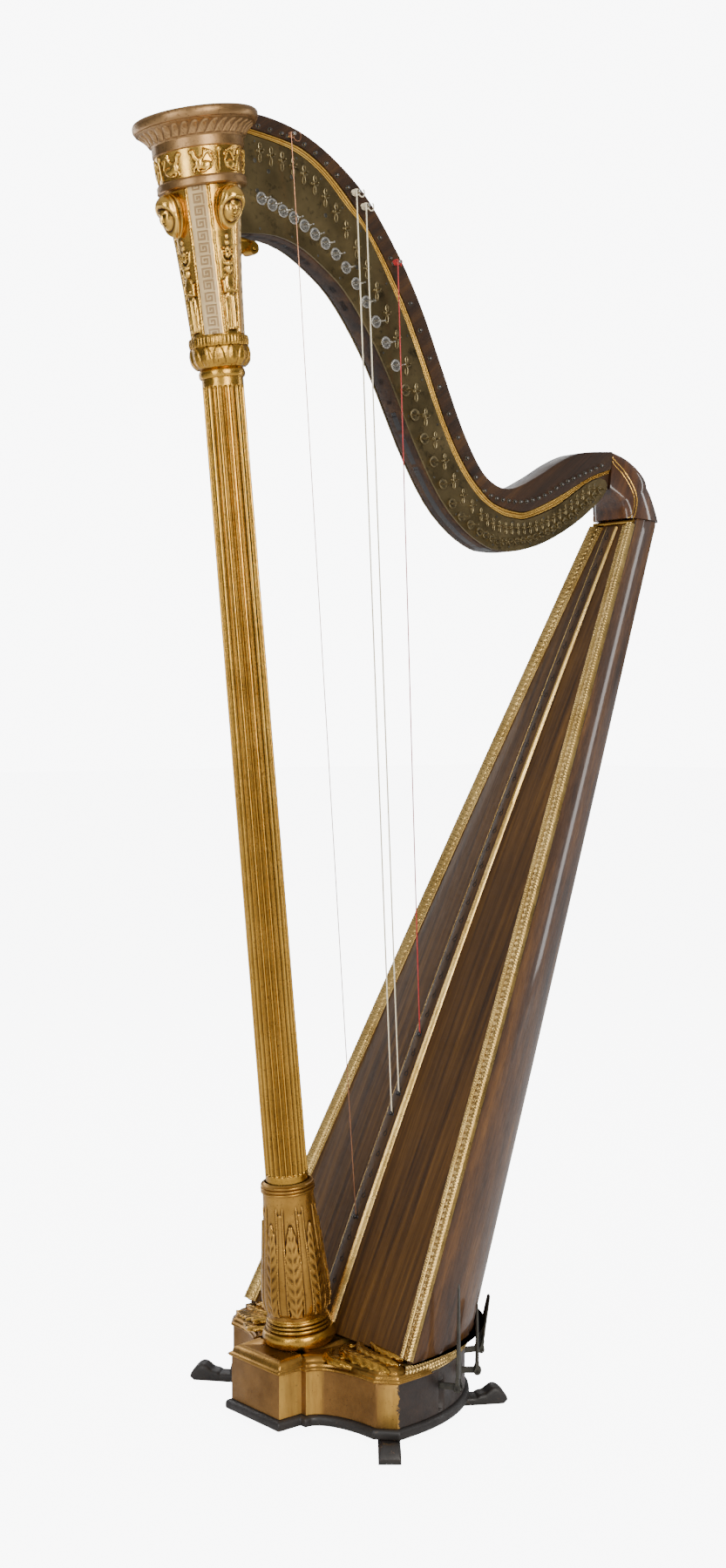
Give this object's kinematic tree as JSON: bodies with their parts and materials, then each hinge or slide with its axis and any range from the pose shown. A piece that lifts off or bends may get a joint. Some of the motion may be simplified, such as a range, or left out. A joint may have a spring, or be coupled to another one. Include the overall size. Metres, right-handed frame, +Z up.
{
  "type": "pedal harp",
  "caption": "Gilded single-action pedal harp: fluted column with carved capital, curved neck with brass action plates, tapering soundbox on a pedal base with scroll feet.",
  "frame": {"origin": "middle of the harp's box, on the floor", "axes": "+Z up, -X towards the column, +X towards the player, -Y towards the side that carries the strings"},
  "size_m": [0.9484, 0.4458, 1.7111],
  "materials": {
    "black_wood": "black paint over wood, worn satin",
    "bronze_gilding": "bronzed gilding over carved wood, soft sheen",
    "bright_gilding": "burnished gilding over carved wood",
    "mahogany": "polished varnish",
    "soundboard_wood": "varnished fine grain",
    "action_brass": "aged, unpolished",
    "pedal_iron": "dark, worn",
    "action_steel": "satin",
    "bass_wire": "wound wire",
    "gut": "natural gut",
    "red_gut": "dyed gut"
  },
  "bodies": {
    "harp": {"base_case": "bronze_gilding", "base_plate": "black_wood", "pedal_pivot_bar": "action_steel", "base_cover": "bronze_gilding", "foot_front_left": "black_wood", "foot_front_right": "black_wood", "foot_rear_left": "black_wood", "foot_rear_right": "black_wood", "column_base": "bronze_gilding", "column_shaft": "bright_gilding", "capital": "bright_gilding", "capital_cornice": "bronze_gilding", "soundbox_shell": "mahogany", "soundboard": "soundboard_wood", "string_rib": "soundboard_wood", "edge_moulding_left": "bright_gilding", "edge_moulding_right": "bright_gilding", "soundbox_band": "bright_gilding", "neck": "mahogany", "action_plate_left": "action_brass", "action_plate_right": "action_brass", "neck_bracket": "bright_gilding", "shoulder": "mahogany", "string_wire": "bass_wire", "string_gut_low": "gut", "string_gut_high": "gut", "string_red": "red_gut"},
    "pedal_d": {"pedal_arm_d": "pedal_iron"},
    "toe_d": {"pedal_toe_d": "pedal_iron"},
    "rod_d": {"pedal_rod_d": "action_steel"},
    "fork_disc_d": {"disc_d": "action_steel"},
    "pedal_c": {"pedal_arm_c": "pedal_iron"},
    "toe_c": {"pedal_toe_c": "pedal_iron"},
    "rod_c": {"pedal_rod_c": "action_steel"},
    "fork_disc_c": {"disc_c": "action_steel"},
    "pedal_b": {"pedal_arm_b": "pedal_iron"},
    "toe_b": {"pedal_toe_b": "pedal_iron"},
    "rod_b": {"pedal_rod_b": "action_steel"},
    "fork_disc_b": {"disc_b": "action_steel"},
    "pedal_e": {"pedal_arm_e": "pedal_iron"},
    "toe_e": {"pedal_toe_e": "pedal_iron"},
    "rod_e": {"pedal_rod_e": "action_steel"},
    "fork_disc_e": {"disc_e": "action_steel"},
    "pedal_f": {"pedal_arm_f": "pedal_iron"},
    "toe_f": {"pedal_toe_f": "pedal_iron"},
    "rod_f": {"pedal_rod_f": "action_steel"},
    "fork_disc_f": {"disc_f": "action_steel"},
    "pedal_g": {"pedal_arm_g": "pedal_iron"},
    "toe_g": {"pedal_toe_g": "pedal_iron"},
    "rod_g": {"pedal_rod_g": "action_steel"},
    "fork_disc_g": {"disc_g": "action_steel"},
    "pedal_a": {"pedal_arm_a": "pedal_iron"},
    "toe_a": {"pedal_toe_a": "pedal_iron"},
    "rod_a": {"pedal_rod_a": "action_steel"},
    "fork_disc_a": {"disc_a": "action_steel"},
    "pin_4": {"tuning_pin_4": "action_steel"},
    "pin_10": {"tuning_pin_10": "action_steel"},
    "pin_11": {"tuning_pin_11": "action_steel"},
    "pin_14": {"tuning_pin_14": "action_steel"}
  },
  "joints": [
    {"name": "press_d", "type": "hinge", "parent": "harp", "child": "pedal_d", "pos_m": [-0.25607, -0.015, 0.06], "axis": [0, 1, 0], "range_deg": [0, 8.4], "stiffness_Nm_per_rad": 20, "springref_deg": -4.58},
    {"name": "fold_d", "type": "hinge", "parent": "pedal_d", "child": "toe_d", "pos_m": [-0.10679, -0.18563, 0.06], "axis": [0.851, 0.5251, 0], "range_deg": [0, 90]},
    {"name": "rod_slide_d", "type": "slide", "parent": "harp", "child": "rod_d", "axis": [0.1003, 0, -0.995], "range_m": [0, 0.0056]},
    {"name": "disc_turn_d", "type": "hinge", "parent": "harp", "child": "fork_disc_d", "pos_m": [-0.18217, -0.021, 1.5515], "axis": [0, 1, 0], "range_deg": [0, 40]},
    {"name": "press_c", "type": "hinge", "parent": "harp", "child": "pedal_c", "pos_m": [-0.25607, -0.01, 0.06], "axis": [0, 1, 0], "range_deg": [0, 6.2], "stiffness_Nm_per_rad": 20, "springref_deg": -4.58},
    {"name": "fold_c", "type": "hinge", "parent": "pedal_c", "child": "toe_c", "pos_m": [-0.04178, -0.15214, 0.06], "axis": [0.6408, 0.7677, 0], "range_deg": [0, 90]},
    {"name": "rod_slide_c", "type": "slide", "parent": "harp", "child": "rod_c", "axis": [0.1003, 0, -0.995], "range_m": [0, 0.0056]},
    {"name": "disc_turn_c", "type": "hinge", "parent": "harp", "child": "fork_disc_c", "pos_m": [-0.07597, -0.021, 1.41686], "axis": [0, 1, 0], "range_deg": [0, 40]},
    {"name": "press_b", "type": "hinge", "parent": "harp", "child": "pedal_b", "pos_m": [-0.25607, -0.005, 0.06], "axis": [0, 1, 0], "range_deg": [0, 4.9], "stiffness_Nm_per_rad": 20, "springref_deg": -4.58},
    {"name": "fold_b", "type": "hinge", "parent": "pedal_b", "child": "toe_b", "pos_m": [0.0213, -0.09027, 0.06], "axis": [0.3432, 0.9393, 0], "range_deg": [0, 79]},
    {"name": "rod_slide_b", "type": "slide", "parent": "harp", "child": "rod_b", "axis": [0.1003, 0, -0.995], "range_m": [0, 0.0056]},
    {"name": "disc_turn_b", "type": "hinge", "parent": "harp", "child": "fork_disc_b", "pos_m": [-0.09367, -0.021, 1.44576], "axis": [0, 1, 0], "range_deg": [0, 40]},
    {"name": "press_e", "type": "hinge", "parent": "harp", "child": "pedal_e", "pos_m": [-0.25607, 0, 0.06], "axis": [0, 1, 0], "range_deg": [0, 4.3], "stiffness_Nm_per_rad": 20, "springref_deg": -4.58},
    {"name": "fold_e", "type": "hinge", "parent": "pedal_e", "child": "toe_e", "pos_m": [0.06243, 0.03592, 0.06], "axis": [-0.1298, 0.9915, 0], "range_deg": [0, 79]},
    {"name": "rod_slide_e", "type": "slide", "parent": "harp", "child": "rod_e", "axis": [0.1003, 0, -0.995], "range_m": [0, 0.0056]},
    {"name": "disc_turn_e", "type": "hinge", "parent": "harp", "child": "fork_disc_e", "pos_m": [-0.16447, -0.021, 1.53636], "axis": [0, 1, 0], "range_deg": [0, 40]},
    {"name": "press_f", "type": "hinge", "parent": "harp", "child": "pedal_f", "pos_m": [-0.25607, 0.005, 0.06], "axis": [0, 1, 0], "range_deg": [0, 4.9], "stiffness_Nm_per_rad": 20, "springref_deg": -4.58},
    {"name": "fold_f", "type": "hinge", "parent": "pedal_f", "child": "toe_f", "pos_m": [0.01745, 0.09994, 0.06], "axis": [-0.3822, 0.9241, 0], "range_deg": [0, 79]},
    {"name": "rod_slide_f", "type": "slide", "parent": "harp", "child": "rod_f", "axis": [0.1003, 0, -0.995], "range_m": [0, 0.0056]},
    {"name": "disc_turn_f", "type": "hinge", "parent": "harp", "child": "fork_disc_f", "pos_m": [-0.14677, -0.021, 1.5175], "axis": [0, 1, 0], "range_deg": [0, 40]},
    {"name": "press_g", "type": "hinge", "parent": "harp", "child": "pedal_g", "pos_m": [-0.25607, 0.01, 0.06], "axis": [0, 1, 0], "range_deg": [0, 6.2], "stiffness_Nm_per_rad": 20, "springref_deg": -4.58},
    {"name": "fold_g", "type": "hinge", "parent": "pedal_g", "child": "toe_g", "pos_m": [-0.04178, 0.15214, 0.06], "axis": [-0.6408, 0.7677, 0], "range_deg": [0, 90]},
    {"name": "rod_slide_g", "type": "slide", "parent": "harp", "child": "rod_g", "axis": [0.1003, 0, -0.995], "range_m": [0, 0.0056]},
    {"name": "disc_turn_g", "type": "hinge", "parent": "harp", "child": "fork_disc_g", "pos_m": [-0.12907, -0.021, 1.4958], "axis": [0, 1, 0], "range_deg": [0, 40]},
    {"name": "press_a", "type": "hinge", "parent": "harp", "child": "pedal_a", "pos_m": [-0.25607, 0.015, 0.06], "axis": [0, 1, 0], "range_deg": [0, 8.4], "stiffness_Nm_per_rad": 20, "springref_deg": -4.58},
    {"name": "fold_a", "type": "hinge", "parent": "pedal_a", "child": "toe_a", "pos_m": [-0.10679, 0.18563, 0.06], "axis": [-0.851, 0.5251, 0], "range_deg": [0, 90]},
    {"name": "rod_slide_a", "type": "slide", "parent": "harp", "child": "rod_a", "axis": [0.1003, 0, -0.995], "range_m": [0, 0.0056]},
    {"name": "disc_turn_a", "type": "hinge", "parent": "harp", "child": "fork_disc_a", "pos_m": [-0.11137, -0.021, 1.47179], "axis": [0, 1, 0], "range_deg": [0, 40]},
    {"name": "tune_4", "type": "hinge", "parent": "harp", "child": "pin_4", "pos_m": [-0.2627, 0, 1.69142], "axis": [0, 1, 0], "continuous": true},
    {"name": "tune_10", "type": "hinge", "parent": "harp", "child": "pin_10", "pos_m": [-0.15233, 0, 1.63734], "axis": [0, 1, 0], "continuous": true},
    {"name": "tune_11", "type": "hinge", "parent": "harp", "child": "pin_11", "pos_m": [-0.13585, 0, 1.62178], "axis": [0, 1, 0], "continuous": true},
    {"name": "tune_14", "type": "hinge", "parent": "harp", "child": "pin_14", "pos_m": [-0.08046, 0, 1.55542], "axis": [0, 1, 0], "continuous": true}
  ],
  "couplings": [
    {"joint": "rod_slide_d", "follows": "press_d", "m_per_rad": 0.036},
    {"joint": "disc_turn_d", "follows": "press_d", "ratio": 4.5238},
    {"joint": "rod_slide_c", "follows": "press_c", "m_per_rad": 0.036},
    {"joint": "disc_turn_c", "follows": "press_c", "ratio": 6.129},
    {"joint": "rod_slide_b", "follows": "press_b", "m_per_rad": 0.036},
    {"joint": "disc_turn_b", "follows": "press_b", "ratio": 7.7551},
    {"joint": "rod_slide_e", "follows": "press_e", "m_per_rad": 0.036},
    {"joint": "disc_turn_e", "follows": "press_e", "ratio": 8.8372},
    {"joint": "rod_slide_f", "follows": "press_f", "m_per_rad": 0.036},
    {"joint": "disc_turn_f", "follows": "press_f", "ratio": 7.7551},
    {"joint": "rod_slide_g", "follows": "press_g", "m_per_rad": 0.036},
    {"joint": "disc_turn_g", "follows": "press_g", "ratio": 6.129},
    {"joint": "rod_slide_a", "follows": "press_a", "m_per_rad": 0.036},
    {"joint": "disc_turn_a", "follows": "press_a", "ratio": 4.5238}
  ]
}
